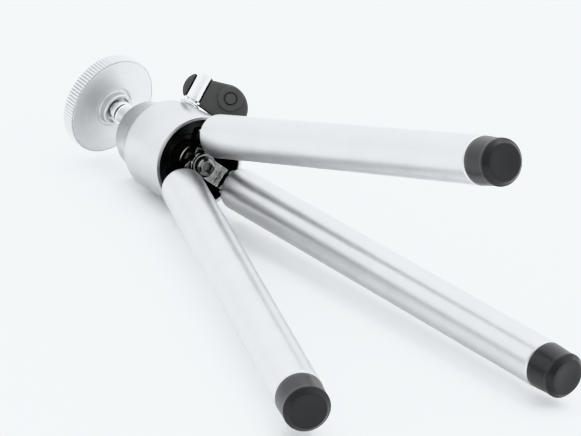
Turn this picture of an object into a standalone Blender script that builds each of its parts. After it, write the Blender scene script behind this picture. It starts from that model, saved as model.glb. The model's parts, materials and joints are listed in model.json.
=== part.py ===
"""Pocket tabletop tripod with a ball head, lying on its side.

The tripod is designed upright: origin at the centre of the hub's mouth, +Z towards the camera platform,
+X towards leg A. At the end the whole assembly is laid on its side so that the platform wheel's rim and
the feet of legs B and C touch the ground plane z = 0, with the legs pointing along world +X.
"""

import math

import bmesh
import bpy
import numpy as np
from mathutils import Matrix, Vector

MM = 0.001
GAP = 0.3 * MM  # running and seating gap between two pieces

# Legs
TUBE_RADIUS = 6.0 * MM
TUBE_WALL = 0.7 * MM
TUBE_TOP = 4.1 * MM  # from the pivot down to the tube's upper rim
TUBE_LENGTH = 129.7 * MM
TUBE_LIP = 1.5 * MM  # how far the rolled upper rim turns in
TONGUE_THICKNESS = 2.6 * MM
EYE_RADIUS = 2.3 * MM
PIN_RADIUS = 1.0 * MM
PIVOT_RADIUS = 8.9 * MM  # pivot's distance from the hub's axis
PIVOT_HEIGHT = -4.1 * MM  # the pivots stand just clear of the mouth
LEG_AZIMUTHS = {"a": 0.0, "b": 120.0, "c": 240.0}
LEG_SPREADS = {"a": 11.1, "b": 9.2, "c": 15.7}  # degrees from the hub's axis, as the tripod lies

# Feet
FOOT_SEAM_RADIUS = 5.9 * MM
FOOT_WAIST_RADIUS = 5.6 * MM
FOOT_BUTTON_RADIUS = 5.75 * MM
FOOT_FACE_RADIUS = 4.0 * MM
FOOT_WAIST = 6.2 * MM  # from the seam to the waist
FOOT_LENGTH = 8.6 * MM

# Hub
HUB_RADIUS = 13.3 * MM
HUB_WALL = 1.2 * MM
HUB_SHOULDER = 19.3 * MM  # height where the straight skirt ends
HUB_SHOULDER_RADIUS = 6.5 * MM
HUB_SHOULDER_ARC = 46.0  # degrees that the shoulder turns in
HUB_NECK = 24.4 * MM  # height where the neck starts
HUB_NECK_RADIUS = 10.1 * MM
HUB_HEIGHT = 33.2 * MM
HUB_LEDGE = 10.8 * MM  # depth of the mouth
HUB_BORE_RADIUS = 7.9 * MM
HUB_BORE_TOP = 23.8 * MM
HUB_THROAT_RADIUS = 4.3 * MM
HUB_FUNNEL_RADIUS = 8.8 * MM
BOSS_RADIUS = 3.5 * MM  # spider's boss, in the middle of the mouth

# Ball head
BALL_RADIUS = 5.0 * MM
BALL_HEIGHT = 20.2 * MM
BALL_AZIMUTH = -48.8  # degrees, the side that the platform leans to
BALL_TILT = 19.8
COLLAR_RADIUS = 3.4 * MM
WHEEL_REACH = 25.3 * MM  # from the ball's centre to the wheel's back face

# Platform wheel
WHEEL_RADIUS = 14.8 * MM
WHEEL_THICKNESS = 4.3 * MM
WHEEL_RIBS = 96
KNURL_DEPTH = 0.4 * MM
PAD_RADIUS = 12.8 * MM
PAD_THICKNESS = 1.0 * MM
CAMERA_THREAD_RADIUS = 3.175 * MM  # 1/4 inch, 20 threads per inch
CAMERA_THREAD_TOP = 10.6 * MM

# Lock
LOCK_AZIMUTH = 24.0
LOCK_TURN = -33.2  # degrees, where the lever points when the ball is locked
BARREL_RADIUS = 2.5 * MM
BARREL_TOP = 23.5 * MM
LEVER_THICKNESS = 3.2 * MM
LEVER_BASE = 13.9 * MM
LEVER_TIP = Vector((8.8 * MM, 16.9 * MM))  # centre of the paddle's round end: along the lever, out from the hub
LEVER_TIP_RADIUS = 7.0 * MM
LEVER_PAD = Vector((9.4 * MM, 20.1 * MM))
LEVER_PAD_RADIUS = 3.5 * MM


def clear_scene():
    for obj in list(bpy.data.objects):
        bpy.data.objects.remove(obj, do_unlink=True)


def make_material(name, color, roughness, metallic):
    material = bpy.data.materials.new(name)
    material.use_nodes = True
    shader = material.node_tree.nodes["Principled BSDF"]
    shader.inputs["Base Color"].default_value = (*color, 1.0)
    shader.inputs["Roughness"].default_value = roughness
    shader.inputs["Metallic"].default_value = metallic
    return material


def make_empty(name, parent, location=(0.0, 0.0, 0.0), turn=(0.0, 0.0, 0.0)):
    """An empty on a joint, turned by degrees about X, then Y, then Z."""
    empty = bpy.data.objects.new(name, None)
    empty.parent = parent
    empty.location = location
    empty.rotation_euler = [math.radians(angle) for angle in turn]
    bpy.context.scene.collection.objects.link(empty)
    return empty


def make_object(name, bm, material, parent, turn=(0.0, 0.0, 0.0)):
    """Closes a bmesh into an object with outward faces and smooth round sides."""
    bmesh.ops.remove_doubles(bm, verts=bm.verts, dist=0.001 * MM)
    bmesh.ops.recalc_face_normals(bm, faces=bm.faces)
    mesh = bpy.data.meshes.new(name)
    bm.to_mesh(mesh)
    bm.free()
    mesh.shade_smooth()
    mesh.set_sharp_from_angle(angle=math.radians(35))
    obj = bpy.data.objects.new(name, mesh)
    obj.parent = parent
    obj.rotation_euler = [math.radians(angle) for angle in turn]
    if material is not None:
        mesh.materials.append(material)
    bpy.context.scene.collection.objects.link(obj)
    return obj


def make_cutter(obj):
    obj.hide_render = True
    obj.display_type = "WIRE"
    return obj


def boolean(obj, operation, other):
    modifier = obj.modifiers.new(other.name, "BOOLEAN")
    modifier.operation = operation
    modifier.solver = "EXACT"
    modifier.object = make_cutter(other)


def arc(center_x, center_z, radius, start, end, steps):
    """Points on a circle, from start to end in degrees."""
    points = []
    for step in range(steps + 1):
        angle = math.radians(start + (end - start) * step / steps)
        points.append((center_x + radius * math.cos(angle), center_z + radius * math.sin(angle)))
    return points


def turned(outline, steps):
    """A bmesh turned about Z from (radius, height) points, closed as a ring unless it starts on the axis."""
    bm = bmesh.new()
    verts = [bm.verts.new((radius, 0.0, height)) for radius, height in outline]
    edges = [bm.edges.new(pair) for pair in zip(verts, verts[1:])]
    if outline[0][0] > 0.0:
        edges.append(bm.edges.new((verts[-1], verts[0])))
    bmesh.ops.spin(
        bm,
        geom=verts + edges,
        cent=(0.0, 0.0, 0.0),
        axis=(0.0, 0.0, 1.0),
        angle=math.tau,
        steps=steps,
        use_merge=True,
    )
    return bm


def extruded(outline, thickness):
    """A bmesh of an (x, z) outline, with its thickness centred on y = 0."""
    bm = bmesh.new()
    face = bm.faces.new([bm.verts.new((x, -thickness / 2, z)) for x, z in outline])
    side = bmesh.ops.extrude_face_region(bm, geom=[face])["geom"]
    moved = [item for item in side if isinstance(item, bmesh.types.BMVert)]
    bmesh.ops.translate(bm, vec=(0.0, thickness, 0.0), verts=moved)
    return bm


def block(low, high):
    """A bmesh box between two corners."""
    bm = bmesh.new()
    size = Vector(high) - Vector(low)
    middle = (Vector(high) + Vector(low)) / 2
    bmesh.ops.create_cube(bm, size=1.0, matrix=Matrix.Translation(middle) @ Matrix.Diagonal((*size, 1.0)))
    return bm


def rod(radius, low, high, steps):
    return turned([(0.0, low), (radius, low), (radius, high), (0.0, high)], steps)


def ring(inner, outer, low, high, steps):
    return turned([(inner, low), (outer, low), (outer, high), (inner, high)], steps)


def make_hub(tripod, satin):
    shoulder = arc(
        HUB_RADIUS - HUB_SHOULDER_RADIUS, HUB_SHOULDER, HUB_SHOULDER_RADIUS, 0, HUB_SHOULDER_ARC, 6
    )
    inner = HUB_RADIUS - HUB_WALL
    edge = 0.2 * MM
    outline = [
        (inner, edge),
        (inner + edge, 0.0),
        (HUB_RADIUS - edge, 0.0),
        (HUB_RADIUS, edge),
        *shoulder,
        (HUB_NECK_RADIUS, HUB_NECK),
        (HUB_NECK_RADIUS, HUB_HEIGHT - 0.9 * MM),
        (HUB_NECK_RADIUS - 0.3 * MM, HUB_HEIGHT - 0.2 * MM),
        (HUB_NECK_RADIUS - 0.7 * MM, HUB_HEIGHT),
        (HUB_FUNNEL_RADIUS, HUB_HEIGHT),
        (HUB_THROAT_RADIUS, HUB_BORE_TOP),
        (HUB_BORE_RADIUS, HUB_BORE_TOP),
        (HUB_BORE_RADIUS, HUB_LEDGE),
        (inner, HUB_LEDGE),
    ]
    hub = make_object("hub_body", turned(outline, 48), satin, tripod)
    lock = make_empty("lock_hole_axis", tripod, (0.0, 0.0, BALL_HEIGHT), (0.0, 0.0, LOCK_AZIMUTH))
    hole = rod(1.8 * MM, HUB_BORE_RADIUS - 3 * MM, HUB_RADIUS + 3 * MM, 16)
    boolean(hub, "DIFFERENCE", make_object("lock_hole_cutter", hole, None, lock, (0.0, 90.0, 0.0)))
    flat = rod(3.3 * MM, HUB_RADIUS - 0.5 * MM, HUB_RADIUS + 3 * MM, 24)
    boolean(hub, "DIFFERENCE", make_object("spot_face_cutter", flat, None, lock, (0.0, 90.0, 0.0)))
    return hub


def make_ball_seat(tripod, pan, nylon, steel):
    """The nylon cup below the ball, the liner above it, and the sprung washer and plug that hold them in."""
    seat = BALL_RADIUS + GAP
    cup_top = BALL_HEIGHT + 1.6 * MM
    cup_bottom = 14.35 * MM
    outer = HUB_BORE_RADIUS - GAP
    top_angle = -math.degrees(math.asin((BALL_HEIGHT - cup_top) / seat))
    bottom_angle = -math.degrees(math.acos(1.5 * MM / seat))
    outline = [
        (1.5 * MM, cup_bottom),
        (outer, cup_bottom),
        (outer, cup_top),
        *arc(0.0, BALL_HEIGHT, seat, top_angle, bottom_angle, 7),
    ]
    cup = make_object("ball_cup", turned(outline, 32), nylon, tripod)
    lock = make_empty("shoe_slot_axis", tripod, (0.0, 0.0, BALL_HEIGHT), (0.0, 0.0, LOCK_AZIMUTH))
    slot = rod(1.8 * MM, 2.5 * MM, 9.5 * MM, 16)
    boolean(cup, "DIFFERENCE", make_object("shoe_slot_cutter", slot, None, lock, (0.0, 90.0, 0.0)))

    liner_bottom = 1.9 * MM  # heights above the ball's centre
    liner_top = 3.3 * MM
    first = math.degrees(math.asin(liner_top / seat))
    last = math.degrees(math.asin(liner_bottom / seat))
    outline = [(outer, liner_bottom), (outer, liner_top), *arc(0.0, 0.0, seat, first, last, 3)]
    make_object("ball_liner", turned(outline, 32), nylon, pan)

    slope = 0.45 * MM
    sheet = 0.3 * MM
    low = 13.3 * MM
    outline = [(7.2 * MM, low), (7.2 * MM, low + sheet), (3.2 * MM, low + sheet + slope), (3.2 * MM, low + slope)]
    make_object("preload_washer", turned(outline, 32), steel, tripod)
    plug = ring(2.0 * MM, outer, HUB_LEDGE + 0.2 * MM, 13.0 * MM, 32)
    make_object("ball_retainer", plug, steel, tripod)
    shoe = rod(1.5 * MM, BALL_RADIUS + 0.45 * MM, 8.9 * MM, 16)
    make_object("clamp_shoe", shoe, nylon, lock, (0.0, 90.0, 0.0))


def make_ball_stud(tilt, chrome, steel):
    """Ball, neck and collar, bored from the platform's end for the camera screw's shank."""
    neck_angle = 65.0
    collar_top = WHEEL_REACH - 2.8 * MM
    bore = 1.7 * MM
    outline = [
        *arc(0.0, 0.0, BALL_RADIUS, -90, neck_angle, 12),
        (2.0 * MM, 5.6 * MM),
        (2.2 * MM, 12.0 * MM),
        (2.6 * MM, collar_top - 2.6 * MM),
        (2.8 * MM, collar_top - 2.1 * MM),
        (COLLAR_RADIUS - 0.2 * MM, collar_top - 1.8 * MM),
        (COLLAR_RADIUS, collar_top - 1.4 * MM),
        (COLLAR_RADIUS, collar_top - 0.5 * MM),
        (COLLAR_RADIUS - 0.4 * MM, collar_top),
        (bore, collar_top),
        (bore, 14.0 * MM),
        (0.0, 14.0 * MM),
    ]
    outline[0] = (0.0, -BALL_RADIUS)
    stud = make_object("ball_stud", turned(outline, 28), chrome, tilt)
    cross = make_empty("retaining_pin_axis", tilt, (1.5 * MM, 0.0, WHEEL_REACH - 3.7 * MM))
    hole = rod(0.7 * MM, -4 * MM, 4 * MM, 12)
    boolean(stud, "DIFFERENCE", make_object("pin_hole_cutter", hole, None, cross, (90.0, 0.0, 0.0)))
    make_object("retaining_pin", rod(0.45 * MM, -2.9 * MM, 2.9 * MM, 10), steel, cross, (90.0, 0.0, 0.0))


def make_platform(spin, satin, pad_rubber, steel):
    """Knurled wheel, its friction pad and the camera screw, from the wheel's back face forwards."""
    bore = 2.3 * MM
    web_radius = WHEEL_RADIUS - 0.5 * MM
    outline = [
        (bore, -1.4 * MM),
        (3.9 * MM, -1.4 * MM),
        (3.9 * MM, -2.4 * MM),
        (4.8 * MM, -2.4 * MM),
        (4.8 * MM, -0.9 * MM),
        (6.4 * MM, -0.9 * MM),
        (7.0 * MM, -0.4 * MM),
        (12.6 * MM, 0.0),
        (web_radius, 0.0),
        (web_radius, WHEEL_THICKNESS),
        (bore, WHEEL_THICKNESS),
    ]
    wheel = make_object("platform_wheel", turned(outline, 48), satin, spin)
    knurl = []
    for side in range(2 * WHEEL_RIBS):
        angle = math.tau * side / (2 * WHEEL_RIBS)
        radius = WHEEL_RADIUS - KNURL_DEPTH * (side % 2)
        knurl.append((radius * math.cos(angle), radius * math.sin(angle)))
    band = make_object("knurl_band", extruded(knurl, WHEEL_THICKNESS - 0.5 * MM), None, spin, (-90.0, 0.0, 0.0))
    band.location.z = WHEEL_THICKNESS / 2
    boolean(wheel, "UNION", band)
    hole = rod(bore, -5.0 * MM, WHEEL_THICKNESS + 2.0 * MM, 48)
    boolean(wheel, "DIFFERENCE", make_object("wheel_bore_cutter", hole, None, spin))

    pad_back = WHEEL_THICKNESS + 0.2 * MM
    pad_front = pad_back + PAD_THICKNESS
    make_object("platform_pad", ring(5.2 * MM, PAD_RADIUS, pad_back, pad_front, 32), pad_rubber, spin)
    shank = 1.4 * MM
    groove = 0.8 * MM
    outline = [
        (0.0, -9.0 * MM),
        (shank, -9.0 * MM),
        (shank, -4.5 * MM),
        (groove, -4.4 * MM),
        (groove, -3.0 * MM),
        (shank, -2.9 * MM),
        (shank, -1.9 * MM),
        (2.0 * MM, -1.3 * MM),
        (2.0 * MM, pad_back),
        (4.6 * MM, pad_back),
        (4.6 * MM, pad_back + 0.7 * MM),
        (CAMERA_THREAD_RADIUS, pad_back + 0.7 * MM),
        (CAMERA_THREAD_RADIUS, CAMERA_THREAD_TOP - 0.5 * MM),
        (CAMERA_THREAD_RADIUS - 0.5 * MM, CAMERA_THREAD_TOP),
        (0.0, CAMERA_THREAD_TOP),
    ]
    make_object("camera_screw", turned(outline, 24), steel, spin)


def make_lock(tripod, turn, chrome, plastic, steel):
    """Lock screw with its slotted barrel, the lever moulded through it, and the washer under it."""
    shank = 1.45 * MM
    screw_tip = 9.2 * MM
    outline = [
        (0.0, screw_tip),
        (1.1 * MM, screw_tip),
        (shank, screw_tip + 0.4 * MM),
        (shank, 13.8 * MM),
        (BARREL_RADIUS, 13.8 * MM),
        (BARREL_RADIUS, 14.4 * MM),
        (1.5 * MM, 14.6 * MM),
        (BARREL_RADIUS, 15.0 * MM),
        (BARREL_RADIUS, BARREL_TOP - 0.4 * MM),
        (BARREL_RADIUS - 0.4 * MM, BARREL_TOP),
        (0.0, BARREL_TOP),
    ]
    screw = make_object("lock_screw", turned(outline, 20), chrome, turn, (0.0, 90.0, 0.0))
    bridge_reach = BARREL_RADIUS + 0.9 * MM
    slot = block((16.2 * MM, -bridge_reach, -0.9 * MM), (21.2 * MM, bridge_reach, 0.9 * MM))
    boolean(screw, "DIFFERENCE", make_object("lever_slot_cutter", slot, None, turn))

    short_end = [(-0.8 * MM + 3.5 * MM * math.cos(a), 18.2 * MM + 4.3 * MM * math.sin(a))
                 for a in np.linspace(math.pi / 2, 3 * math.pi / 2, 9)]
    paddle = arc(LEVER_TIP.x, LEVER_TIP.y, LEVER_TIP_RADIUS, -15, 98, 10)
    base = [(3.2 * MM, LEVER_BASE), (3.4 * MM, LEVER_BASE - 0.4 * MM), (14.8 * MM, LEVER_BASE - 1.6 * MM)]
    outline = [*short_end, *base, *paddle, (2.5 * MM, 22.4 * MM)]
    lever = make_object("lock_lever", extruded(outline, LEVER_THICKNESS), plastic, turn, (90.0, 0.0, 90.0))
    pad = rod(LEVER_PAD_RADIUS, -2.1 * MM, 2.1 * MM, 24)
    pad_axis = make_empty("lever_pad_axis", turn, (LEVER_PAD.y, LEVER_PAD.x, 0.0))
    boolean(lever, "UNION", make_object("lever_pad", pad, None, pad_axis))
    clearance = rod(BARREL_RADIUS + GAP, LEVER_BASE - 2 * MM, BARREL_TOP + 2 * MM, 20)
    boolean(lever, "DIFFERENCE", make_object("barrel_cutter", clearance, None, turn, (0.0, 90.0, 0.0)))
    bridge = block((16.5 * MM, -bridge_reach, -0.6 * MM), (20.9 * MM, bridge_reach, 0.6 * MM))
    boolean(lever, "UNION", make_object("lever_bridge", bridge, None, turn))

    seat = make_empty("lock_washer_axis", tripod, (0.0, 0.0, BALL_HEIGHT), (0.0, 0.0, LOCK_AZIMUTH))
    washer_bottom = HUB_RADIUS - 0.2 * MM
    washer = ring(1.75 * MM, 2.9 * MM, washer_bottom, washer_bottom + 0.6 * MM, 20)
    make_object("lock_washer", washer, steel, seat, (0.0, 90.0, 0.0))


def make_mouth_disc(tripod, plastic):
    """Black disc that closes the mouth above the spider, with a collar round the spider's boss."""
    bore = BOSS_RADIUS + GAP
    collar = bore + 0.7 * MM
    collar_front = 3.5 * MM
    disc_radius = HUB_RADIUS - HUB_WALL - GAP
    disc_front = 8.5 * MM
    disc_back = HUB_LEDGE - GAP
    outline = [
        (bore, collar_front),
        (collar, collar_front),
        (collar, disc_front),
        (disc_radius, disc_front),
        (disc_radius, disc_back),
        (bore, disc_back),
    ]
    make_object("mouth_disc", turned(outline, 36), plastic, tripod)


def make_spider(tripod, chrome, steel):
    """Clevis block with three pairs of ears, held in the mouth by one screw from below."""
    boss_bottom = -2.0 * MM
    boss_top = HUB_LEDGE - GAP
    screw_clearance = 2.0 * MM
    spider = make_object("spider", ring(screw_clearance, BOSS_RADIUS, boss_bottom, boss_top, 28), chrome, tripod)
    ear_radius = 2.5 * MM
    ear_width = 2 * 2.9 * MM
    ear = [
        (2.6 * MM, 1.8 * MM),
        (2.6 * MM, -1.6 * MM),
        (5.2 * MM, -2.6 * MM),
        *arc(PIVOT_RADIUS, PIVOT_HEIGHT, ear_radius, 180, 375, 8),
        (9.9 * MM, 0.6 * MM),
        (7.6 * MM, 1.8 * MM),
    ]
    half_slot = TONGUE_THICKNESS / 2 + GAP
    for leg, azimuth in LEG_AZIMUTHS.items():
        turn = (0.0, 0.0, azimuth)
        boolean(spider, "UNION", make_object(f"ears_{leg}", extruded(ear, ear_width), None, tripod, turn))
    for leg, azimuth in LEG_AZIMUTHS.items():
        turn = (0.0, 0.0, azimuth)
        slot = block((BOSS_RADIUS + 0.9 * MM, -half_slot, -8.0 * MM), (13.0 * MM, half_slot, 4.0 * MM))
        boolean(spider, "DIFFERENCE", make_object(f"slot_cutter_{leg}", slot, None, tripod, turn))
        axis = make_empty(f"pivot_hole_axis_{leg}", tripod, pivot_point(azimuth), turn)
        hole = rod(PIN_RADIUS + GAP, -5 * MM, 5 * MM, 16)
        boolean(spider, "DIFFERENCE", make_object(f"pivot_cutter_{leg}", hole, None, axis, (90.0, 0.0, 0.0)))
    bore = rod(screw_clearance, -6.0 * MM, boss_top + 2.0 * MM, 20)
    boolean(spider, "DIFFERENCE", make_object("spider_bore_cutter", bore, None, tripod))

    washer_top = boss_bottom - GAP
    washer_bottom = washer_top - 0.6 * MM
    washer = ring(screw_clearance, BOSS_RADIUS - 0.1 * MM, washer_bottom, washer_top, 24)
    make_object("spider_washer", washer, steel, tripod)
    head_top = washer_bottom - GAP
    head_bottom = head_top - 1.8 * MM
    head_radius = 2.7 * MM
    shank = screw_clearance - GAP
    shank_top = 12.6 * MM
    outline = [
        (0.0, head_bottom),
        (head_radius - 0.4 * MM, head_bottom),
        (head_radius, head_bottom + 0.4 * MM),
        (head_radius, head_top),
        (shank, head_top),
        (shank, shank_top),
        (0.0, shank_top),
    ]
    screw = make_object("spider_screw", turned(outline, 20), steel, tripod)
    socket = rod(1.5 * MM, head_bottom - 1.0 * MM, head_bottom + 1.1 * MM, 6)
    boolean(screw, "DIFFERENCE", make_object("hex_socket_cutter", socket, None, tripod))


def pivot_point(azimuth):
    angle = math.radians(azimuth)
    return (PIVOT_RADIUS * math.cos(angle), PIVOT_RADIUS * math.sin(angle), PIVOT_HEIGHT)


def make_leg(leg, tripod, chrome, satin, rubber, steel):
    """One leg, hanging down -Z from its pivot before it is spread."""
    azimuth = LEG_AZIMUTHS[leg]
    pin_axis = make_empty(f"pin_axis_{leg}", tripod, pivot_point(azimuth), (0.0, 0.0, azimuth))
    head = 3.2 * MM  # from the tongue's middle to the inside of the rivet head
    head_radius = 1.7 * MM
    end = head + 0.5 * MM
    outline = [
        (0.0, -end),
        (head_radius - 0.2 * MM, -end),
        (head_radius, -head),
        (PIN_RADIUS, -head),
        (PIN_RADIUS, head),
        (head_radius, head),
        (head_radius - 0.2 * MM, end),
        (0.0, end),
    ]
    make_object(f"pivot_pin_{leg}", turned(outline, 16), steel, pin_axis, (90.0, 0.0, 0.0))

    hinge = make_empty(f"hinge_{leg}", tripod, pivot_point(azimuth), (0.0, -LEG_SPREADS[leg], azimuth))
    collar_radius = TUBE_RADIUS - TUBE_LIP - 0.5 * MM
    collar_top = -3.0 * MM
    plug_radius = TUBE_RADIUS - TUBE_WALL - GAP
    plug_top = -TUBE_TOP - 2.0 * MM
    outline = [
        (0.0, collar_top),
        (collar_radius - 0.4 * MM, collar_top),
        (collar_radius, collar_top - 0.4 * MM),
        (collar_radius, plug_top),
        (plug_radius, plug_top),
        (plug_radius, plug_top - 8.0 * MM),
        (0.0, plug_top - 8.0 * MM),
    ]
    fitting = make_object(f"leg_fitting_{leg}", turned(outline, 20), chrome, hinge)
    tongue = [
        (EYE_RADIUS, -TUBE_TOP - 1.0 * MM),
        *arc(0.0, 0.0, EYE_RADIUS, 0, 180, 10),
        (-EYE_RADIUS, -TUBE_TOP - 1.0 * MM),
    ]
    tongue = make_object(f"tongue_{leg}", extruded(tongue, TONGUE_THICKNESS), None, hinge)
    boolean(fitting, "UNION", tongue)
    hole = rod(PIN_RADIUS + GAP, -3 * MM, 3 * MM, 16)
    boolean(fitting, "DIFFERENCE", make_object(f"eye_cutter_{leg}", hole, None, hinge, (90.0, 0.0, 0.0)))

    inner = TUBE_RADIUS - TUBE_WALL
    end = -TUBE_TOP - TUBE_LENGTH
    lip = TUBE_RADIUS - TUBE_LIP
    outline = [
        (inner, end),
        (TUBE_RADIUS - 0.2 * MM, end),
        (TUBE_RADIUS, end + 0.3 * MM),
        (TUBE_RADIUS, -TUBE_TOP - 0.9 * MM),
        (TUBE_RADIUS - 0.25 * MM, -TUBE_TOP - 0.25 * MM),
        (TUBE_RADIUS - 0.8 * MM, -TUBE_TOP),
        (lip + 0.3 * MM, -TUBE_TOP),
        (lip, -TUBE_TOP - 0.4 * MM),
        (lip, -TUBE_TOP - 1.2 * MM),
        (inner, -TUBE_TOP - 1.6 * MM),
    ]
    make_object(f"leg_tube_{leg}", turned(outline, 32), satin, hinge)

    seam = end - 0.25 * MM
    waist = seam - FOOT_WAIST
    tip = end - FOOT_LENGTH
    stem = inner - GAP
    outline = [
        (0.0, seam + 9.0 * MM),
        (stem, seam + 9.0 * MM),
        (stem, seam),
        (FOOT_SEAM_RADIUS, seam),
        (FOOT_WAIST_RADIUS, waist),
        (FOOT_BUTTON_RADIUS, waist - 0.3 * MM),
        (FOOT_BUTTON_RADIUS - 0.15 * MM, waist - 0.9 * MM),
        (FOOT_FACE_RADIUS + 0.7 * MM, tip + 0.3 * MM),
        (FOOT_FACE_RADIUS, tip),
        (0.0, tip),
    ]
    make_object(f"foot_{leg}", turned(outline, 28), rubber, hinge)


def world_points(graph, names):
    """The evaluated corners of the named objects, in world space."""
    found = []
    for name in names:
        obj = bpy.data.objects[name].evaluated_get(graph)
        mesh = obj.to_mesh()
        found.append(np.array([obj.matrix_world @ vert.co for vert in mesh.vertices]))
        obj.to_mesh_clear()
    return found


def lay_down(tripod):
    """Turns the upright tripod until the wheel's rim and feet B and C touch the ground, and centres it there."""
    bpy.context.view_layer.update()
    graph = bpy.context.evaluated_depsgraph_get()
    touching = world_points(graph, ("platform_wheel", "foot_b", "foot_c"))
    up = Vector((1.0, 0.0, 0.0))
    for _ in range(30):
        lowest = [Vector(points[np.argmin(points @ np.array(up))]) for points in touching]
        normal = (lowest[1] - lowest[0]).cross(lowest[2] - lowest[0]).normalized()
        up = normal if normal.dot(up) > 0 else -normal
    forward = Vector((0.0, 0.0, -1.0))
    forward = (forward - forward.dot(up) * up).normalized()
    turn = Matrix((forward, up.cross(forward), up)).to_4x4()
    nodes = [obj.name for obj in bpy.data.objects if obj.type == "MESH" and not obj.hide_render]
    corners = np.concatenate(world_points(graph, nodes)) @ np.array(turn.to_3x3()).T
    low = corners.min(axis=0)
    high = corners.max(axis=0)
    base = Vector(((low[0] + high[0]) / 2, (low[1] + high[1]) / 2, low[2]))
    tripod.matrix_world = Matrix.Translation(-base) @ turn


def main():
    clear_scene()
    satin = make_material("satin_aluminium", (0.80, 0.81, 0.82), 0.36, 1.0)
    chrome = make_material("chrome", (0.86, 0.87, 0.88), 0.10, 1.0)
    steel = make_material("zinc_steel", (0.55, 0.56, 0.57), 0.30, 1.0)
    plastic = make_material("black_plastic", (0.03, 0.03, 0.03), 0.38, 0.0)
    rubber = make_material("black_rubber", (0.025, 0.026, 0.027), 0.45, 0.0)
    nylon = make_material("white_nylon", (0.78, 0.77, 0.73), 0.50, 0.0)
    pad_rubber = make_material("black_pad", (0.05, 0.05, 0.05), 0.80, 0.0)

    tripod = make_empty("tripod", None)
    pan = make_empty("ball_pan", tripod, (0.0, 0.0, BALL_HEIGHT), (0.0, 0.0, BALL_AZIMUTH))
    tilt = make_empty("ball_tilt", pan, turn=(0.0, BALL_TILT, 0.0))
    spin = make_empty("wheel_spin", tilt, (0.0, 0.0, WHEEL_REACH))
    lock = make_empty("lock_turn", tripod, (0.0, 0.0, BALL_HEIGHT), (LOCK_TURN, 0.0, LOCK_AZIMUTH))

    make_hub(tripod, satin)
    make_ball_seat(tripod, pan, nylon, steel)
    make_ball_stud(tilt, chrome, steel)
    make_platform(spin, satin, pad_rubber, steel)
    make_lock(tripod, lock, chrome, plastic, steel)
    make_mouth_disc(tripod, plastic)
    make_spider(tripod, chrome, steel)
    for leg in LEG_AZIMUTHS:
        make_leg(leg, tripod, chrome, satin, rubber, steel)
    lay_down(tripod)


main()
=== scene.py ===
"""Looks of a pocket tabletop tripod that lies on its side.

Each piece is modelled upright in millimetres, in the frame of the body it belongs to, and is then placed
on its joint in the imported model. The hub's frame starts in the middle of its mouth with +Z towards the
camera platform. A leg's frame starts in its pivot with the leg running down -Z. The platform's frame starts
on the wheel's back face, the stud's in the middle of the ball, and both have +Z towards the camera.
"""

import json
import math

import bmesh
import bpy
from mathutils import Matrix, Vector


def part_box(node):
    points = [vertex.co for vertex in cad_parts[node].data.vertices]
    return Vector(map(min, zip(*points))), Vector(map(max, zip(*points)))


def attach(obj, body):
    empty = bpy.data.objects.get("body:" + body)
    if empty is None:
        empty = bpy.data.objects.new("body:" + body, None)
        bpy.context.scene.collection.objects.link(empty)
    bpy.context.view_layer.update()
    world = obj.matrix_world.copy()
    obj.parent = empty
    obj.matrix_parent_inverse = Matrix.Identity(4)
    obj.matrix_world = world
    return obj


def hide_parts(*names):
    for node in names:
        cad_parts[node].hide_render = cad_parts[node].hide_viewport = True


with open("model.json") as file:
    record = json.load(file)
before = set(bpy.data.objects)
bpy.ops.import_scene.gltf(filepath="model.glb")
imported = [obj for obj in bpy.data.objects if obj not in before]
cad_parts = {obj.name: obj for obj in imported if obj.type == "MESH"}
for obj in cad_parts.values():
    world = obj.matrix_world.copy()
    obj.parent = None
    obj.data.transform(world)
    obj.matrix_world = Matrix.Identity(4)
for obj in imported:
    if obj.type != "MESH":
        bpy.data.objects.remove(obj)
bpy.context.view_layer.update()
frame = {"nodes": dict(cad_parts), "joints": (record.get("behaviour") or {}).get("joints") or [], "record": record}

MM = 0.001
LEGS = ("a", "b", "c")
JOINTS = {joint["name"]: joint for joint in frame["joints"]}
MOUNTS = {mount["name"]: mount for mount in frame["record"]["mounts"]}

# Sizes in millimetres
BALL_HEIGHT = 20.2  # ball's centre above the hub's mouth
BALL_RADIUS = 5.0
HUB_RADIUS = 13.3
HUB_WALL = 1.2
HUB_HEIGHT = 33.2
HUB_SHOULDER = 19.3  # height where the straight skirt ends
HUB_SHOULDER_RADIUS = 6.5
HUB_SHOULDER_ARC = 46.0  # degrees that the shoulder turns through
HUB_NECK = 24.4  # height where the neck starts
HUB_NECK_RADIUS = 10.1
HUB_FUNNEL_RADIUS = 8.8
HUB_LEDGE = 10.8
BOSS_RADIUS = 3.5  # spider's boss, in the middle of the mouth
PIVOT_RADIUS = 8.9
PIVOT_HEIGHT = -4.1
TONGUE_THICKNESS = 2.6
PIN_BORE = 1.3  # radius
TUBE_RADIUS = 6.0
TUBE_WALL = 0.7
TUBE_TOP = -4.1
TUBE_END = -133.8
FOOT_SEAM = -134.05
FOOT_TIP = -142.4
WHEEL_REACH = 25.3  # ball's centre to the wheel's back face
WHEEL_RADIUS = 14.8
WHEEL_THICKNESS = 4.3
WHEEL_RIBS = 96
KNURL_DEPTH = 0.45
THREAD_RADIUS = 3.175
THREAD_PITCH = 1.27
THREAD_TOP = 10.6
THREAD_DEPTH = 0.62
THREAD_RUNOUT = 0.6  # length over which the tip tapers
LOCK_POINT = 16.0  # the lock joint's distance from the ball's centre
LOCK_TURN = -33.2  # degrees, where the lever rests
BARREL_RADIUS = 2.5
BARREL_TOP = 23.5
LEVER_BASE = 13.9
LEVER_THICKNESS = 3.2
LEVER_PAD = (9.4, 0.0, 20.1)
LEVER_PAD_RADIUS = 3.5
BRIDGE_REACH = BARREL_RADIUS + 0.9  # half the lever's bridge through the barrel


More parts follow.
